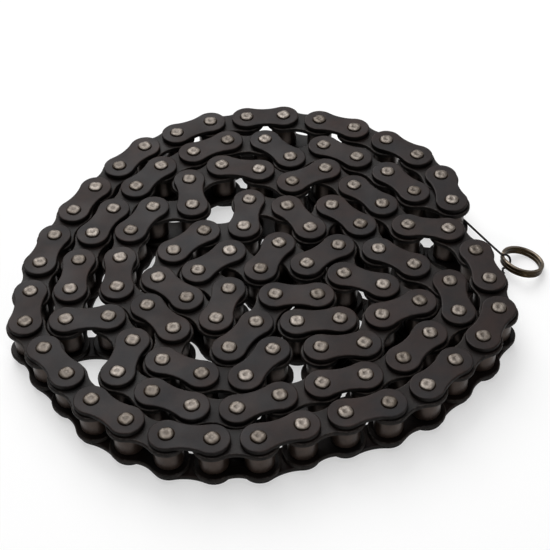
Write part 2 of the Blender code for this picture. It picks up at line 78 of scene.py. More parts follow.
# Lay of the coil, the same as the part's.
STRAND_GAP = 0.00025
PIN_SPACING = 2 * INNER_LOBE_R + STRAND_GAP
WAIST_SPACING = INNER_LOBE_R + INNER_WAIST + STRAND_GAP
SETTLING_STEPS = 1500
WAYPOINTS = (
    # outer turn, clockwise from the front
    (0, -0.1, -5.5), (2, -2.1, -5.4), (3, -3.0, -5.0), (5, -4.4, -3.5),
    (7, -5.6, -1.9), (10, -5.2, 1.2), (12, -4.2, 3.0), (14, -3.0, 4.6), (16, -1.3, 5.5),
    (18, 0.7, 5.8), (20, 2.8, 5.0), (22, 4.3, 3.7), (24, 4.9, 1.8),
    # back inside it, anticlockwise
    (25, 4.1, 2.5), (28, 1.9, 4.3), (29, 0.7, 3.8), (30, 0.2, 4.6), (31, -0.8, 4.7), (33, -2.5, 3.7),
    (35, -3.6, 2.1), (37, -4.6, 0.1), (39, -4.7, -1.9), (40, -3.3, -1.8), (41, -3.1, -2.5),
    (42, -3.4, -3.5), (44, -1.7, -4.6), (45, -0.5, -4.7), (48, 2.3, -3.8), (49, 3.4, -3.4),
    (51, 4.9, -2.0),
    # folds across the middle
    (52, 4.5, -1.0), (54, 3.0, 0.2), (56, 1.9, 1.8), (57, 1.3, 0.9), (58, 0.7, 1.9), (59, -0.2, 2.1),
    (60, -0.3, 1.0), (62, -2.1, 0.4), (63, -2.5, -0.6), (65, -1.0, -1.9), (66, -0.7, -1.0),
    (67, -1.5, -0.4), (68, -0.6, 0.3), (69, -0.1, -0.3), (70, 0.7, 0.6), (71, 1.2, -0.3),
    (72, 1.9, 0.4), (73, 2.0, -0.6), (74, 2.8, -1.1), (75, 3.8, -1.6), (76, 2.8, -2.0),
    (77, 2.4, -2.9), (78, 1.3, -3.0),
    # tight zigzag at the centre
    (79, 1.8, -2.2), (80, 0.8, -2.2), (81, 1.3, -1.4), (82, 0.4, -1.2), (84, -0.6, -2.9),
    (85, 0.3, -2.8), (86, -0.5, -3.9),
    # third turn, clockwise, and out to the front again
    (88, -2.3, -3.2), (89, -2.2, -2.2), (91, -3.5, -1.0), (92, -3.4, 0.1), (93, -3.3, 1.1),
    (94, -2.7, 2.1), (95, -1.7, 2.1), (96, -1.8, 3.1), (97, -0.9, 3.6), (98, 0.0, 3.4),
    (99, 0.9, 2.9), (100, 1.8, 3.3), (103, 3.7, 1.1), (104, 4.7, 0.9), (105, 5.2, 0.2),
    (107, 5.4, -1.7), (110, 3.6, -4.1),
)

# Tie wire and ring, the same places as the part's.
WIRE_R = 0.00035
WIRE_Z = 0.0045
WIRE_GAP = 0.0004
WIRE_PINS = (24, 106)
HOOK_ARCS = ((170, 28), (8, -140))          # directions round each roller, in degrees
GRIP_LEANS = range(105, -106, -15)          # directions round the ring's section, in degrees
GRIP_SPREAD = 0.0009                        # sideways, between the wire's two ends at the ring
RING_R = 0.00645
RING_T = 0.0012
RING_H = 0.0024
RING_CHAMFER = 0.0003
RING_OFFSET = Vector((0.0211, -0.0174))     # from the first hooked pin to the ring's centre
RING_LEAN = math.radians(16)
RING_LEAN_TOWARDS = math.radians(30)
RING_GRIP_ANGLE = math.radians(163)

# The tie wire's twisted end.
TWIST_R = 0.00045
TWIST_TURNS = 3.5
TWIST_STEPS = 56
TWIST_TAPER = 1 / 8          # share of its length in which the strands come together, at each end
TWIST_SPAN = (0.06, 0.92)    # where it starts and stops, as shares of the way from ring to roller

# The ring's two turns of flat wire.
RING_TURNS = 1.97
RING_START = 2.6                 # radians
RING_CROSSING = 0.86             # turns before the wire steps up to the second turn
CROSSING_LENGTH = 0.25           # turns
RING_SLIT = 0.00005
RING_CORNER = 0.00024
CORNER_STEPS = 4
RING_STEPS = 150
RIM_HIGHLIGHT = (                     # painted highlight round the upper outer, lower outer, lower inner and upper inner corner
    (0.9, 0.4, 0.05, 0.0), (0.0, 0.0, 0.0, 0.1), (0.1, 0.0, 0.0, 0.0), (0.0, 0.05, 0.4, 0.9),
)
FLAT_HIGHLIGHT = (0.0, 0.3, 0.0, 1.0)          # painted highlight on the outer wall, underside, inner wall and top


# --- lay of the coil ---------------------------------------------------------------------------

def pins_on_waypoints():
    """Pin places along the straight strands between the waypoints."""
    pins = np.zeros((LINKS, 2))
    for (first, x0, y0), (last, x1, y1) in zip(WAYPOINTS, WAYPOINTS[1:] + WAYPOINTS[:1]):
        links = (last - first) % LINKS
        for step in range(links):
            share = step / links
            pins[(first + step) % LINKS] = (x0 + (x1 - x0) * share, y0 + (y1 - y0) * share)
    return pins * PITCH


def hold_pitch(pins):
    """Bring the pins of each link one pitch apart."""
    for kind in (0, 1):
        near = np.arange(kind, LINKS, 2)
        far = (near + 1) % LINKS
        span = pins[far] - pins[near]
        length = np.linalg.norm(span, axis=1, keepdims=True)
        shift = span * (length - PITCH) / length / 2
        pins[near] += shift
        pins[far] -= shift


def spread(pins, one, near, far, distance):
    """Move pins `one` away from the points midway between pins `near` and `far`, to `distance`."""
    gap = (pins[near] + pins[far]) / 2 - pins[one]
    length = np.linalg.norm(gap, axis=1)
    close = length < distance
    one, near, far = one[close], near[close], far[close]
    push = gap[close] * ((distance / length[close] - 1) / 2)[:, None]
    move = np.zeros_like(pins)
    hits = np.zeros(LINKS)
    for pin, step in ((one, -push), (near, push), (far, push)):
        np.add.at(move, pin, step / 2)
        np.add.at(hits, pin, 0.5)
    pins += move / np.maximum(hits, 0.5)[:, None]


def lay_out_pins():
    """Pin places in the settled coil: exact pitch, and no plate touching another strand's."""
    pins = pins_on_waypoints()
    one, other = np.triu_indices(LINKS, 2)
    apart = other - one < LINKS - 1
    one, other = one[apart], other[apart]
    pin, near = np.meshgrid(np.arange(LINKS), np.arange(0, LINKS, 2), indexing="ij")
    foreign = (pin != near) & (pin != near + 1)
    pin, near = pin[foreign], near[foreign]
    for _ in range(SETTLING_STEPS):
        hold_pitch(pins)
        spread(pins, one, other, other, PIN_SPACING)
        spread(pins, pin, near, near + 1, WAIST_SPACING)
    hold_pitch(pins)
    first = next(joint for joint in frame["joints"] if joint["name"] == "hinge_1")
    return pins + np.array(first["pos_m"][:2]) - pins[0]


PINS = lay_out_pins()


# --- templates: one plate, pin, bush and roller -------------------------------------------------

FACE, SEAT, EDGE = range(3)             # a plate's material slots


class Template:
    """Points and faces of one piece, with a value for wear and painted light and a material for each
    face.
    """

    def __init__(self):
        self.points = []
        self.faces = []
        self.wear_and_painted_light = []
        self.slots = []
        self.smooth = []

    def loop(self, points):
        """Add a closed row of points and return their numbers."""
        start = len(self.points)
        self.points += points
        return list(range(start, len(self.points)))

    def face(self, corners, wear_and_painted_light=0.0, slot=FACE, smooth=True):
        self.faces.append(corners)
        self.wear_and_painted_light.append(wear_and_painted_light)
        self.slots.append(slot)
        self.smooth.append(smooth)

    def band(self, lower, upper, wear_and_painted_light=0.0, slot=FACE):
        """Quads from one row of points to the next, with one value for wear and painted light or one for
        each quad.
        """
        count = len(lower)
        wear_and_painted_light_values = wear_and_painted_light if isinstance(wear_and_painted_light, list) else [wear_and_painted_light] * count
        for k in range(count):
            n = (k + 1) % count
            self.face([lower[k], lower[n], upper[n], upper[k]], wear_and_painted_light_values[k], slot)


def arc(centre, radius, start, end, steps):
    """Points on an arc, its two ends included."""
    angles = [start + (end - start) * step / steps for step in range(steps + 1)]
    return [(centre[0] + radius * math.cos(a), centre[1] + radius * math.sin(a)) for a in angles]


LOBE_STEPS = 22
WAIST_STEPS = 9
HOLE_SIDES = 28
EDGE_WEAR = (0.15, 0.55, 1.0, 0.75)     # rows of quads round a plate's rounded edge, from its side
SIDE_WEAR = 0.05
EDGE_IN = 0.00042                       # how far the rounded edge reaches in over the face
EDGE_DOWN = 0.00030                     # and down the side
SEAT_KNEE = 0.45                        # where a seat's slope changes, as a share of its width
SEAT_KNEE_DEPTH = 0.75                  # and the share of its depth reached there


def plate_outline(lobe_r, waist, inset):
    """Figure of eight along X, set in by `inset` all round."""
    half = PITCH / 2
    hollow_r = (half ** 2 + waist ** 2 - lobe_r ** 2) / (2 * (lobe_r - waist))
    hollow_y = waist + hollow_r
    lean = math.atan2(hollow_y, half)
    right = arc((half, 0), lobe_r - inset, lean - math.pi, math.pi - lean, LOBE_STEPS)
    top = arc((0, hollow_y), hollow_r + inset, -lean, lean - math.pi, WAIST_STEPS)[1:-1]
    half_outline = right + top
    return half_outline + [(-x, -y) for x, y in half_outline]


def plate_template(lobe_r, waist, hole_r, seat_r, seat_depth):
    """Stamped plate with rounded edges and a countersunk seat round each hole."""
    made = Template()
    half_t = PLATE_T / 2
    knee_r = seat_r * SEAT_KNEE + hole_r * (1 - SEAT_KNEE)

    def outline_row(inset, z):
        return made.loop([(x, y, z) for x, y in plate_outline(lobe_r, waist, inset)])

    def hole_row(x, radius, z):
        ring = arc((x, 0), radius, 0, 2 * math.pi, HOLE_SIDES)[:-1]
        return made.loop([(px, py, z) for px, py in ring])

    rims = {}
    for side in (1, -1):
        rows = []
        for step in range(len(EDGE_WEAR) + 1):
            turn = math.pi / 2 * step / len(EDGE_WEAR)
            rows.append(outline_row(EDGE_IN * (1 - math.cos(turn)),
                                    side * (half_t - EDGE_DOWN * (1 - math.sin(turn)))))
        for step, wear_and_painted_light in enumerate(EDGE_WEAR):
            made.band(*rows[step:step + 2][::side], wear_and_painted_light=wear_and_painted_light, slot=EDGE if step == 0 else FACE)
        rims[side] = (rows[0], rows[-1])
    made.band(rims[-1][0], rims[1][0], wear_and_painted_light=SIDE_WEAR, slot=EDGE)

    seats = {}
    for x in (-PITCH / 2, PITCH / 2):
        for side in (1, -1):
            outer = hole_row(x, seat_r, side * half_t)
            knee = hole_row(x, knee_r, side * (half_t - seat_depth * SEAT_KNEE_DEPTH))
            inner = hole_row(x, hole_r, side * (half_t - seat_depth))
            for rows in ((outer, knee), (knee, inner)):
                made.band(*rows[::side], slot=SEAT)
            seats[x, side] = (outer, inner)
        made.band(seats[x, 1][1], seats[x, -1][1], slot=SEAT)

    for side in (1, -1):
        loops = [rims[side][1]] + [seats[x, side][0] for x in (-PITCH / 2, PITCH / 2)]
        numbers = [n for loop in loops for n in loop]
        cap = tessellate_polygon([[Vector(made.points[n]) for n in loop] for loop in loops])
        for triangle in cap:
            corners = [numbers[n] for n in triangle]
            a, b, c = (Vector(made.points[n]) for n in corners)
            if (b - a).cross(c - a).z * side < 0:
                corners.reverse()
            made.face(corners, smooth=False)
    return made


TUBE_EDGE_STEPS = 4
BORE_CHAMFER = 0.4           # as a share of the outer edge's rounding


def tube_template(outer_r, inner_r, half, edge, sides):
    """Tube along Z with rounded outer edges and a chamfered bore."""
    corner = []
    for step in range(TUBE_EDGE_STEPS + 1):
        turn = math.pi / 2 * step / TUBE_EDGE_STEPS
        wear_and_painted_light = 1.0 if step < TUBE_EDGE_STEPS else 0.4
        corner.append((outer_r - edge * (1 - math.sin(turn)), half - edge * (1 - math.cos(turn)), wear_and_painted_light))
    chamfer = edge * BORE_CHAMFER
    profile = corner + [(radius, -z, wear_and_painted_light) for radius, z, wear_and_painted_light in reversed(corner)]
    profile += [(inner_r + chamfer, -half, 0.3), (inner_r, -half + chamfer, 0.0),
                (inner_r, half - chamfer, 0.0), (inner_r + chamfer, half, 0.3)]
    made = Template()
    rows = []
    for radius, z, _ in profile:
        ring = arc((0, 0), radius, 0, 2 * math.pi, sides)[:-1]
        rows.append(made.loop([(x, y, z) for x, y in ring]))
    for upper in range(len(rows)):
        lower = (upper + 1) % len(rows)
        made.band(rows[lower], rows[upper], (profile[upper][2] + profile[lower][2]) / 2)
    return made


HEAD_SIDES = 32
HEAD_R = 0.00220
DIMPLE_DEPTH = 0.00012
# painted shade in the pin head's dimple
DIMPLE_SHADE = 0.5
STAKED_IN = 0.035            # how far the four stakes draw the rim in, as a share of its radius
STAKE_SPREAD = 1.2           # they work in full from 1 / 1.2 of the radius outwards
CROWN = (
    # radius as a share of the head's, depth below the top, depth of the four stakes
    (0.12, 0.00011, 0.0), (0.24, 0.00009, 0.0), (0.34, 0.00003, 0.0), (0.50, 0.0, 0.00001),
    (0.68, 0.00002, 0.00004), (0.84, 0.00007, 0.00008), (0.94, 0.00016, 0.00008),
    (1.0, 0.00030, 0.00003), (1.0, 0.00045, 0.0), (0.96, 0.00072, 0.0),
)
CROWN_SHADE = (0.5, 0.45, 0.2, 0.0, 0.0, 0.15, 0.5, 0.9, 1.0)     # painted shade between one row and the next, deepest down the head's side and in the dimple
NECK_Z = PIN_HALF - 0.0009   # where the head meets the shank
# painted shade under the head's edge, where it meets the shank
NECK_SHADE = 0.6
SHANK_R = PIN_R - 0.0001


def pin_head_rows(made, side, turn):
    """Riveted end of a pin: squared by four stakes, with a dimple at its middle."""
    rows = [made.loop([(0, 0, side * (PIN_HALF - DIMPLE_DEPTH))])]
    for share, depth, stake in CROWN:
        points = []
        for k in range(HEAD_SIDES):
            angle = 2 * math.pi * k / HEAD_SIDES
            square = math.cos(4 * (angle + turn))
            squared = 1 - STAKED_IN * (1 + square) * min(1.0, share * STAKE_SPREAD)
            radius = HEAD_R * share * squared
            z = PIN_HALF - depth - stake * max(0.0, square)
            points.append((radius * math.cos(angle), radius * math.sin(angle), side * z))
        rows.append(made.loop(points))
    return rows


def shank_row(made, z):
    return made.loop([(x, y, z) for x, y in arc((0, 0), SHANK_R, 0, 2 * math.pi, HEAD_SIDES)[:-1]])


def pin_template(turn, ends):
    """Pin with riveted ends.  `ends` lists the ends built: both for a whole pin, or one for a stub."""
    made = Template()
    rims = {}
    for side in ends:
        rows = pin_head_rows(made, side, turn)
        middle, first = rows[0][0], rows[1]
        for k in range(HEAD_SIDES):
            corners = [middle, first[k], first[(k + 1) % HEAD_SIDES]]
            made.face(corners[::side], DIMPLE_SHADE)
        for wear_and_painted_light, upper, lower in zip(CROWN_SHADE, rows[1:], rows[2:]):
            made.band(*(lower, upper)[::side], wear_and_painted_light)
        rims[side] = rows[-1]
    if len(ends) == 2:
        rows = [rims[1], shank_row(made, NECK_Z), shank_row(made, -NECK_Z), rims[-1]]
        for upper, lower, wear_and_painted_light in zip(rows, rows[1:], (NECK_SHADE, 0.0, NECK_SHADE)):
            made.band(lower, upper, wear_and_painted_light)
    else:
        side = ends[0]
        neck = shank_row(made, side * NECK_Z)
        end = shank_row(made, side * (OUTER_PLATE_Z - PLATE_T / 2))
        made.band(*(neck, rims[side])[::side], NECK_SHADE)
        made.band(*(end, neck)[::side])
        made.face(end[::-side], smooth=False)
    return made


INNER_PLATE = plate_template(INNER_LOBE_R, INNER_WAIST,
                             hole_r=BUSH_R + 0.00004, seat_r=BUSH_R + 0.00022, seat_depth=0.00015)
OUTER_PLATE = plate_template(OUTER_LOBE_R, OUTER_WAIST,
                             hole_r=PIN_R - 0.00003, seat_r=PIN_R + 0.00025, seat_depth=0.00030)
ROLLER = tube_template(ROLLER_R, BUSH_R + RUNNING_GAP, INNER_WIDTH / 2 - PLATE_GAP,
                       edge=0.00045, sides=56)
BUSH = tube_template(BUSH_R, PIN_R + RUNNING_GAP, INNER_WIDTH / 2 + PLATE_T - 0.00002,
                     edge=0.00012, sides=40)


# --- placing and joining ------------------------------------------------------------------------

def link_matrix(number, x, z):
    """Place in link `number`, x along it from its first pin and z above the middle plane."""
    start, end = PINS[(number - 1) % LINKS], PINS[number % LINKS]
    angle = math.atan2(end[1] - start[1], end[0] - start[0])
    spot = Matrix.Translation((start[0], start[1], MIDDLE_Z)) @ Matrix.Rotation(angle, 4, "Z")
    return spot @ Matrix.Translation((x, 0, z))


def flipped(matrix):
    """The same place, turned over about the link's long direction."""
    return matrix @ Matrix.Rotation(math.pi, 4, "X")


def build(name, placed, materials):
    """One mesh object from a list of (template, matrix)."""
    points, faces = [], []
    wear_and_painted_light, slots, smooth = [], [], []
    for template, matrix in placed:
        start = sum(len(block) for block in points)
        block = np.array(template.points) @ np.array(matrix.to_3x3()).T + np.array(matrix.translation)
        points.append(block)
        faces += [[start + corner for corner in face] for face in template.faces]
        wear_and_painted_light += template.wear_and_painted_light
        slots += template.slots
        smooth += template.smooth
    mesh = bpy.data.meshes.new(name)
    mesh.from_pydata(np.concatenate(points).tolist(), [], faces)
    for material in materials:
        mesh.materials.append(material)
    mesh.polygons.foreach_set("material_index", slots)
    mesh.polygons.foreach_set("use_smooth", smooth)
    # each face's value: wear on plates, rollers, bushes and wire, painted shade on the pins, painted
    # highlight on the ring
    layer = mesh.attributes.new("wear_and_painted_light", "FLOAT", "FACE")
    layer.data.foreach_set("value", wear_and_painted_light)
    mesh.update()
    obj = bpy.data.objects.new(name, mesh)
    bpy.context.scene.collection.objects.link(obj)
    return obj


# --- materials ----------------------------------------------------------------------------------

class Nodes:
    """Small helper for building a material's node tree."""

    def __init__(self, name):
        self.material = bpy.data.materials.new(name)
        self.material.use_nodes = True
        self.tree = self.material.node_tree
        self.shader = self.tree.nodes["Principled BSDF"]
        coords = self.tree.nodes.new("ShaderNodeTexCoord")
        self.place = coords.outputs["Object"]

    def link(self, output, socket):
        self.tree.links.new(output, socket)

    def noise(self, scale, detail=3.0, roughness=0.55, stretch=None):
        node = self.tree.nodes.new("ShaderNodeTexNoise")
        node.inputs["Scale"].default_value = scale
        node.inputs["Detail"].default_value = detail
        node.inputs["Roughness"].default_value = roughness
        if stretch:
            mapping = self.tree.nodes.new("ShaderNodeMapping")
            mapping.inputs["Scale"].default_value = stretch
            self.link(self.place, mapping.inputs["Vector"])
            self.link(mapping.outputs["Vector"], node.inputs["Vector"])
        else:
            self.link(self.place, node.inputs["Vector"])
        return node.outputs["Fac"]

    def ramp(self, value, low, high, start=0.0, end=1.0):
        """Value from low..high mapped to start..end, clamped."""
        node = self.tree.nodes.new("ShaderNodeMapRange")
        node.inputs["From Min"].default_value = low
        node.inputs["From Max"].default_value = high
        node.inputs["To Min"].default_value = start
        node.inputs["To Max"].default_value = end
        self.link(value, node.inputs["Value"])
        return node.outputs["Result"]

    def math(self, operation, a, b):
        node = self.tree.nodes.new("ShaderNodeMath")
        node.operation = operation
        node.use_clamp = True
        for socket, value in zip(node.inputs, (a, b)):
            if isinstance(value, (int, float)):
                socket.default_value = value
            else:
                self.link(value, socket)
        return node.outputs["Value"]

    def mix(self, share, first, second, blend="MIX"):
        node = self.tree.nodes.new("ShaderNodeMix")
        node.data_type = "RGBA"
        node.blend_type = blend
        if isinstance(share, (int, float)):
            node.inputs[0].default_value = share
        else:
            self.link(share, node.inputs[0])
        for socket, value in ((node.inputs[6], first), (node.inputs[7], second)):
            if isinstance(value, tuple):
                socket.default_value = (*value, 1.0)
            else:
                self.link(value, socket)
        return node.outputs[2]

    def attribute(self, name):
        node = self.tree.nodes.new("ShaderNodeAttribute")
        node.attribute_name = name
        return node.outputs["Fac"]

    def island(self):
        return self.tree.nodes.new("ShaderNodeNewGeometry").outputs["Random Per Island"]

    def bump(self, height, distance, strength=1.0, after=None):
        node = self.tree.nodes.new("ShaderNodeBump")
        node.inputs["Distance"].default_value = distance
        node.inputs["Strength"].default_value = strength
        self.link(height, node.inputs["Height"])
        if after is not None:
            self.link(after, node.inputs["Normal"])
        return node.outputs["Normal"]

    def finish(self, colour, roughness, normal, metallic, specular=0.5):
        self.link(colour, self.shader.inputs["Base Color"])
        self.link(roughness, self.shader.inputs["Roughness"])
        self.link(normal, self.shader.inputs["Normal"])
        self.shader.inputs["Metallic"].default_value = metallic
        self.shader.inputs["Specular IOR Level"].default_value = specular
        return self.material


def blackened_plate(name, dark, warm, worn):
    """Tumbled, blackened steel: cool and warm patches, fine grain, a little worn along the rims."""
    n = Nodes(name)
    patches = n.ramp(n.noise(170, 3.0), 0.35, 0.68)
    base = n.mix(patches, dark, warm)
    shade = n.ramp(n.island(), 0, 1, 0.82, 1.18)
    shades = n.tree.nodes.new("ShaderNodeCombineColor")
    for socket in shades.inputs:
        n.link(shade, socket)
    base = n.mix(1.0, base, shades.outputs["Color"], "MULTIPLY")
    tint = n.mix(n.ramp(n.noise(48, 1.0), 0.38, 0.62), (0.92, 1.0, 1.06), (1.12, 0.98, 0.92))
    base = n.mix(1.0, base, tint, "MULTIPLY")
    grain = n.noise(2600, 2.0)
    base = n.mix(n.ramp(grain, 0.58, 0.80, 0, 0.25), base, worn)
    chips = n.ramp(n.noise(900, 4.0, 0.65), 0.42, 0.66)
    rim = n.math("MULTIPLY", n.attribute("wear_and_painted_light"), chips)
    base = n.mix(n.math("MULTIPLY", rim, 0.45), base, worn)
    oil = n.ramp(n.noise(75, 2.0), 0.35, 0.65, 0.52, 0.40)
    rough = n.math("SUBTRACT", oil, n.math("MULTIPLY", rim, 0.08))
    normal = n.bump(n.noise(420, 3.0), 0.00010, 0.55)
    normal = n.bump(grain, 0.00003, 0.6, normal)
    return n.finish(base, rough, normal, 0.0, 0.12)


def sheared_edge(name, dark, light):
    """Rough edge of a stamped plate, painted near black as shade on the plate's sides."""
    n = Nodes(name)
    base = n.mix(n.ramp(n.noise(500, 3.0, 0.6), 0.35, 0.65), dark, light)
    rough = n.ramp(n.noise(800, 2.0), 0.3, 0.7, 0.55, 0.75)
    normal = n.bump(n.noise(1200, 3.0, 0.6, (1, 1, 0.25)), 0.00006, 0.8)
    return n.finish(base, rough, normal, 0.0, 0.12)


def bright_pin(name):
    """Bare riveted steel: warm silver crown, with painted shade in the dimple and under the edge."""
    n = Nodes(name)
    shade = n.ramp(n.island(), 0, 1)
    silver = n.mix(shade, (0.092, 0.074, 0.058), (0.235, 0.203, 0.176))
    tarnish = n.ramp(n.noise(700, 4.0, 0.6), 0.45, 0.68, 0, 0.7)
    silver = n.mix(tarnish, silver, (0.095, 0.072, 0.052))
    # painted shade: darker in the dimple, down the head's side and under its edge
    painted_shade = n.ramp(n.attribute("wear_and_painted_light"), 0.1, 1.0, 0, 0.9)
    silver = n.mix(painted_shade, silver, (0.030, 0.020, 0.014))
    rough = n.ramp(n.noise(1200, 2.0), 0.3, 0.7, 0.28, 0.55)
    normal = n.bump(n.noise(1300, 3.0), 0.00008, 0.9)
    return n.finish(silver, rough, normal, 0.45)


def brown_steel(name, dark, light, metallic, rough, stretch=None, specular=0.5):
    """Oiled or heat-browned steel, for rollers, bushes, the wire and the seats round the pins."""
    n = Nodes(name)
    patches = n.ramp(n.noise(230, 3.0), 0.32, 0.68)
    base = n.mix(patches, dark, light)
    worn = n.math("MULTIPLY", n.attribute("wear_and_painted_light"), n.ramp(n.noise(700, 3.0), 0.35, 0.65))
    base = n.mix(n.math("MULTIPLY", worn, 0.5), base, tuple(min(1.0, 2.0 * c) for c in light))
    rough = n.ramp(n.noise(500, 3.0, 0.5, stretch), 0.3, 0.7, *rough)
    normal = n.bump(n.noise(900, 3.0, 0.5, stretch), 0.00004, 0.6)
    return n.finish(base, rough, normal, metallic, specular)


def ring_steel(name):
    """Browned spring steel, with a patchy painted highlight along the tops and upper edges of its turns.
    """
    n = Nodes(name)
    base = n.mix(n.ramp(n.noise(260, 3.0), 0.35, 0.65), (0.014, 0.008, 0.002), (0.036, 0.023, 0.009))
    # painted highlight: light brown laid in patches on the turns' tops and upper edges
    painted_highlight = n.math("MULTIPLY", n.attribute("wear_and_painted_light"), n.ramp(n.noise(420, 3.0), 0.30, 0.62, 0.45, 1.0))
    base = n.mix(painted_highlight, base, (0.50, 0.41, 0.32))
    rough = n.ramp(n.noise(600, 3.0), 0.3, 0.7, 0.26, 0.36)
    normal = n.bump(n.noise(1100, 3.0), 0.00003, 0.4)
    drawn = n.tree.nodes.new("ShaderNodeTangent")
    drawn.direction_type, drawn.axis = "RADIAL", "Z"
    n.link(drawn.outputs["Tangent"], n.shader.inputs["Tangent"])
    n.shader.inputs["Anisotropic"].default_value = 0.85
    n.shader.inputs["Anisotropic Rotation"].default_value = 0.25
    return n.finish(base, rough, normal, 0.9)


OUTER_STEEL = blackened_plate("outer_plate_steel",
                              (0.0150, 0.0125, 0.0130), (0.0245, 0.0165, 0.0150), (0.055, 0.045, 0.039))
# inner plates: faces painted about half as dark as the outer plates', as shade between the outer plates;
# worn colour lighter, partly wear and partly a painted highlight on their rims
INNER_STEEL = blackened_plate("inner_plate_steel",
                              (0.0070, 0.0058, 0.0056), (0.0120, 0.0084, 0.0074), (0.100, 0.084, 0.073))
# plates' sides: painted near black as shade; the inner plates' a little lighter, a painted highlight
# where their rims catch the light under the outer plates
OUTER_EDGE = sheared_edge("outer_edge_steel", (0.0040, 0.0034, 0.0032), (0.010, 0.0080, 0.0070))
INNER_EDGE = sheared_edge("inner_edge_steel", (0.0050, 0.0041, 0.0037), (0.016, 0.0125, 0.0105))
SEAT_STEEL = brown_steel("seat_steel", (0.012, 0.007, 0.005), (0.045, 0.024, 0.013),
                         metallic=0.2, rough=(0.45, 0.65), specular=0.3)
PIN_STEEL = bright_pin("riveted_pin_steel")
ROLLER_STEEL = brown_steel("roller_bronze_steel", (0.026, 0.017, 0.0125), (0.046, 0.031, 0.024),
                           metallic=0.6, rough=(0.30, 0.42), stretch=(1, 1, 6))
BUSH_STEEL = brown_steel("bush_dark_steel", (0.07, 0.055, 0.045), (0.11, 0.09, 0.07),
                         metallic=0.6, rough=(0.30, 0.45))
WIRE_STEEL = brown_steel("wire_dark_steel", (0.004, 0.003, 0.003), (0.012, 0.009, 0.008),
                         metallic=0.3, rough=(0.45, 0.6), specular=0.2)
RING_STEEL = ring_steel("ring_brown_steel")
OUTER_PLATE_STEELS = [OUTER_STEEL, SEAT_STEEL, OUTER_EDGE]
INNER_PLATE_STEELS = [INNER_STEEL, SEAT_STEEL, INNER_EDGE]


# --- links --------------------------------------------------------------------------------------

draw = random.Random(11)
PIN_TURNS = [draw.uniform(0, math.pi / 2) for _ in range(LINKS)]


def plate_places(number, outer):
    """Top and bottom plate of a link, as (template, matrix)."""
    template = OUTER_PLATE if outer else INNER_PLATE
    height = OUTER_PLATE_Z if outer else INNER_PLATE_Z
    top = link_matrix(number, PITCH / 2, height)
    bottom = flipped(link_matrix(number, PITCH / 2, -height))
    return (template, top), (template, bottom)


def at_pin(template, pin):
    x, y = PINS[pin % LINKS]
    return template, Matrix.Translation((x, y, MIDDLE_Z))


def pin_place(pin, ends=(1, -1)):
    """Pin standing at its place in the coil, with its staking turned at random."""
    return at_pin(pin_template(PIN_TURNS[pin % LINKS], ends), pin)


def show(name, placed, materials, body, node):
    """Build a piece, let it ride on its body, and let it stand for its CAD node."""
    obj = build(name, placed, materials)
    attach(obj, body)
    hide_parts(node)


def show_hinged_links():
    for number in range(1, HINGED_LINKS + 1):
        body = f"link_{number}"
        outer = number % 2 == 0
        kind = "outer" if outer else "inner"
        steels = OUTER_PLATE_STEELS if outer else INNER_PLATE_STEELS
        for side, place in zip(("top", "bottom"), plate_places(number, outer)):
            show(f"hinged_{kind}_plate_{number}_{side}", [place], steels, body,
                 f"link_{number}_{kind}_plate_{side}")
        for end, pin in (("a", number - 1), ("b", number)):
            if not outer:
                show(f"hinged_bush_{number}{end}", [at_pin(BUSH, pin)], [BUSH_STEEL], body,
                     f"link_{number}_inner_bush_{end}")
                show(f"hinged_roller_{number}{end}", [at_pin(ROLLER, pin)], [ROLLER_STEEL],
                     f"roller_{number}{end}", f"link_{number}_roller_{end}")
            elif pin < HINGED_LINKS:
                show(f"hinged_pin_{number}{end}", [pin_place(pin)], [PIN_STEEL], body,
                     f"link_{number}_outer_pin_{end}")
            else:
                for side, name in ((1, "top"), (-1, "bottom")):
                    show(f"hinged_pin_{number}{end}_{name}", [pin_place(pin, (side,))], [PIN_STEEL],
                         body, f"link_{number}_outer_pin_{end}_{name}")


def show_coil_runs():
    """The coil's other links, all in full, grouped as the part's runs."""
    pairs = (LINKS - HINGED_LINKS) // 2
    for run in range(RUNS):
        first = HINGED_LINKS + 2 * (run * pairs // RUNS)
        last = HINGED_LINKS + 2 * ((run + 1) * pairs // RUNS)
        node = f"coil_run_{run + 1:02d}"
        inner, outer = [], []
        for number in range(first + 1, last + 1, 2):
            inner += plate_places(number, False)
            outer += plate_places(number + 1, True)
        pins = [pin_place(pin) for pin in range(first + 1, last + 1)]
        bushes = [at_pin(BUSH, pin) for pin in range(first, last)]
        rollers = [at_pin(ROLLER, pin) for pin in range(first, last)]
        group = f"run_{run + 1:02d}"
        show(f"{group}_inner_plates", inner, INNER_PLATE_STEELS, "coil", node)
        show(f"{group}_outer_plates", outer, OUTER_PLATE_STEELS, "coil", node)
        show(f"{group}_pins", pins, [PIN_STEEL], "coil", node)
        show(f"{group}_bushes", bushes, [BUSH_STEEL], "coil", node)
        show(f"{group}_rollers", rollers, [ROLLER_STEEL], "coil", node)


show_hinged_links()
show_coil_runs()


# --- tie wire and ring --------------------------------------------------------------------------

WIRE_SIDES = 12
HOOK_STEPS = 12
CUT_WEAR = 0.3               # on the wire, and on the cut ends of the ring


def show_wire(name, path):
    """Tie wire along a path of points, with flat ends."""
    made = Template()
    points = [Vector(point) for point in path]
    rows = []
    side = None
    for k, point in enumerate(points):
        before = points[max(k - 1, 0)]
        after = points[min(k + 1, len(points) - 1)]
        along = (after - before).normalized()
        if side is None:
            side = along.orthogonal().normalized()
        side = (side - along * side.dot(along)).normalized()
        other = along.cross(side)
        ring = []
        for corner in range(WIRE_SIDES):
            angle = 2 * math.pi * corner / WIRE_SIDES
            ring.append(tuple(point + WIRE_R * (math.cos(angle) * side + math.sin(angle) * other)))
        rows.append(made.loop(ring))
    join_rows(made, rows, CUT_WEAR)
    show(name, [(made, Matrix.Identity(4))], [WIRE_STEEL], "coil", "tie_wire")


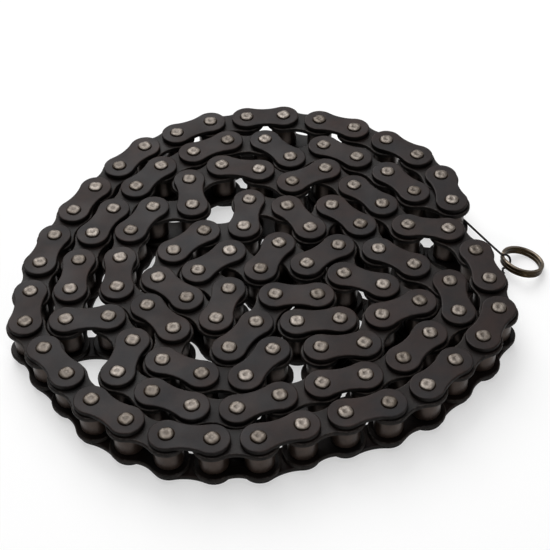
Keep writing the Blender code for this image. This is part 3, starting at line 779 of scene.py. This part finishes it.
def join_rows(made, rows, wear_and_painted_light):
    """Bands from each row of points to the next, and a flat face on each end."""
    for lower, upper in zip(rows, rows[1:]):
        made.band(lower, upper, wear_and_painted_light)
    made.face(rows[0][::-1], CUT_WEAR, smooth=False)
    made.face(rows[-1], CUT_WEAR, smooth=False)


def smooth_path(points, rounds):
    """Corner-cutting smoothing that keeps the two ends."""
    points = [Vector(point) for point in points]
    for _ in range(rounds):
        cut = [points[0]]
        for a, b in zip(points, points[1:]):
            cut += [a.lerp(b, 0.25), a.lerp(b, 0.75)]
        points = cut + [points[-1]]
    return points


def hook_points(pin, start, end):
    """Wire's path round a roller, between two directions given in degrees."""
    radius = ROLLER_R + WIRE_GAP + WIRE_R
    path = arc(PINS[pin], radius, math.radians(start), math.radians(end), HOOK_STEPS)
    return [(x, y, WIRE_Z) for x, y in path]


def ring_frame():
    """The ring's own directions: X towards its lowest point, and Z along its axis."""
    return Matrix.Rotation(RING_LEAN_TOWARDS, 4, "Z") @ Matrix.Rotation(RING_LEAN, 4, "Y")


def ring_places():
    """The ring's centre, and the middle of its section where the wire holds it."""
    middle = Vector(PINS[WIRE_PINS[0]]) + RING_OFFSET
    reach = RING_R + RING_T / 2 - RING_CHAMFER
    height = reach * math.sin(RING_LEAN) + RING_H / 2 * math.cos(RING_LEAN)
    centre = Vector((middle.x, middle.y, height))
    spoke = Vector((math.cos(RING_GRIP_ANGLE), math.sin(RING_GRIP_ANGLE), 0)) * RING_R
    return centre, centre + ring_frame().to_3x3() @ spoke


def grip_points(centre, grip):
    """Wire's path over the ring's section, down inside the ring and back below it.

    The bend is a little wider than the part's, so that the split ring clears it through its swing.
    """
    radius = math.hypot(RING_T / 2, RING_H / 2) + WIRE_GAP + WIRE_R
    inward = (centre - grip).xy.normalized()
    sideways = Vector((-inward.y, inward.x))
    points = []
    for angle in GRIP_LEANS:
        lean = math.radians(angle)
        place = grip.xy + inward * radius * math.cos(lean) + sideways * GRIP_SPREAD * math.sin(lean)
        points.append((*place, grip.z + radius * math.sin(lean)))
    return points


def twisted_pair(start, end):
    """Two strands twisted together from one point to the other, as two lists of points."""
    along = end - start
    side = along.orthogonal().normalized()
    other = along.normalized().cross(side)
    strands = []
    for phase in (0, math.pi):
        strand = []
        for step in range(TWIST_STEPS + 1):
            share = step / TWIST_STEPS
            angle = phase + 2 * math.pi * TWIST_TURNS * share
            reach = TWIST_R * min(1.0, share / TWIST_TAPER, (1 - share) / TWIST_TAPER)
            outward = math.cos(angle) * side + math.sin(angle) * other
            strand.append(start + along * share + reach * outward)
        strands.append(strand)
    return strands


def show_tie_wire(centre, grip):
    """Wire from one roller, round the ring and round the other roller, its tail twisted back."""
    path = hook_points(WIRE_PINS[0], *HOOK_ARCS[0]) + grip_points(centre, grip)
    loop = hook_points(WIRE_PINS[1], *HOOK_ARCS[1])
    ring_end, hook_end = Vector(path[-1]), Vector(loop[0])
    run, tail = twisted_pair(*(ring_end.lerp(hook_end, share) for share in TWIST_SPAN))
    show_wire("tie_wire_drawn", smooth_path(path + run + loop, 2))
    show_wire("tie_wire_twist", smooth_path(tail, 1))


def ring_section():
    """Rounded rectangle of the ring's flat wire, as (outward, upward) points, with each side's painted
    highlight.
    """
    half_t, half_h = RING_T / 2 - RING_CORNER, RING_H / 4 - RING_SLIT / 2 - RING_CORNER
    section, wear_and_painted_light_values = [], []
    for corner, (outward, upward) in enumerate(((1, 1), (1, -1), (-1, -1), (-1, 1))):
        for step in range(CORNER_STEPS + 1):
            turn = math.pi / 2 * (corner + step / CORNER_STEPS)
            section.append((outward * half_t + RING_CORNER * math.sin(turn),
                            upward * half_h + RING_CORNER * math.cos(turn)))
        wear_and_painted_light_values += [*RIM_HIGHLIGHT[corner], FLAT_HIGHLIGHT[corner]]
    return section, wear_and_painted_light_values


def show_ring(centre):
    """Split ring of two close turns of flat wire, one on the other."""
    section, wear_and_painted_light_values = ring_section()
    place = Matrix.Translation(centre) @ ring_frame()
    made = Template()
    rows = []
    for step in range(RING_STEPS + 1):
        turn = RING_TURNS * step / RING_STEPS
        rise = min(1.0, max(0.0, (turn - RING_CROSSING) / CROSSING_LENGTH))
        rise = rise * rise * (3 - 2 * rise)
        angle = RING_START + 2 * math.pi * turn
        level = (rise - 0.5) * RING_H / 2
        points = [((RING_R + out) * math.cos(angle), (RING_R + out) * math.sin(angle), level + up)
                  for out, up in section]
        rows.append(made.loop([tuple(place @ Vector(point)) for point in points]))
    join_rows(made, rows, wear_and_painted_light_values)
    show("split_ring", [(made, Matrix.Identity(4))], [RING_STEEL], "ring", "ring")


RING_CENTRE, RING_GRIP = ring_places()
show_tie_wire(RING_CENTRE, RING_GRIP)
show_ring(RING_CENTRE)


# --- floor, light and camera --------------------------------------------------------------------

def make_floor():
    mesh = bpy.data.meshes.new("floor")
    shape = bmesh.new()
    bmesh.ops.create_grid(shape, x_segments=1, y_segments=1, size=6.0)
    shape.to_mesh(mesh)
    shape.free()
    floor = bpy.data.objects.new("floor", mesh)
    bpy.context.scene.collection.objects.link(floor)
    material = bpy.data.materials.new("pale_floor")
    material.use_nodes = True
    shader = material.node_tree.nodes["Principled BSDF"]
    shader.inputs["Base Color"].default_value = (0.50, 0.50, 0.50, 1)
    shader.inputs["Emission Color"].default_value = (1.0, 1.0, 1.0, 1)
    shader.inputs["Emission Strength"].default_value = 0.52
    shader.inputs["Roughness"].default_value = 0.9
    mesh.materials.append(material)


def add_area(name, place, target, size, power):
    data = bpy.data.lights.new(name, "AREA")
    data.shape = "DISK"
    data.size = size
    data.energy = power
    lamp = bpy.data.objects.new(name, data)
    bpy.context.scene.collection.objects.link(lamp)
    lamp.location = place
    lamp.rotation_euler = (Vector(target) - Vector(place)).to_track_quat("-Z", "Y").to_euler()


def make_lights():
    world = bpy.data.worlds.new("studio")
    bpy.context.scene.world = world
    world.use_nodes = True
    background = world.node_tree.nodes["Background"]
    background.inputs["Color"].default_value = (1.0, 1.0, 1.0, 1)
    background.inputs["Strength"].default_value = 0.12
    add_area("overhead", (-0.10, 0.15, 1.10), (0, 0, 0), size=0.9, power=5.6)
    add_area("back", (-0.22, 0.80, 0.85), (0, 0, 0), size=0.9, power=9.3)
    add_area("front", (0.42, -0.85, 0.30), (0, 0, 0.01), size=0.16, power=1.6)


FOCAL_LENGTH = 1369 / 550        # as a share of the sensor's width
CAMERA_ELEVATION = math.radians(44.42)
CAMERA_ROLL = math.radians(-1.92)
CAMERA_DISTANCE = 0.4166
AIM_OFFSET = (0.0043, -0.0087)   # from the coil's centre, on the plane of the pins' tops


def make_camera():
    """Camera that looks at the coil from in front and above, a little rolled."""
    centre = (PINS.min(axis=0) + PINS.max(axis=0)) / 2
    aim = Vector((centre[0] + AIM_OFFSET[0], centre[1] + AIM_OFFSET[1], 2 * PIN_HALF))
    right = Vector((1, 0, 0))
    back = Vector((0, -math.cos(CAMERA_ELEVATION), math.sin(CAMERA_ELEVATION)))
    up = back.cross(right)
    across = math.cos(CAMERA_ROLL) * right + math.sin(CAMERA_ROLL) * up
    upward = -math.sin(CAMERA_ROLL) * right + math.cos(CAMERA_ROLL) * up
    data = bpy.data.cameras.new("camera")
    data.sensor_width = 36
    data.lens = data.sensor_width * FOCAL_LENGTH
    data.clip_start = 0.01
    camera = bpy.data.objects.new("camera", data)
    bpy.context.scene.collection.objects.link(camera)
    axes = Matrix((across, upward, back)).transposed().to_4x4()
    camera.matrix_world = Matrix.Translation(aim + CAMERA_DISTANCE * back) @ axes
    bpy.context.scene.camera = camera


make_floor()
make_lights()
make_camera()
bpy.context.scene.view_settings.view_transform = "Standard"
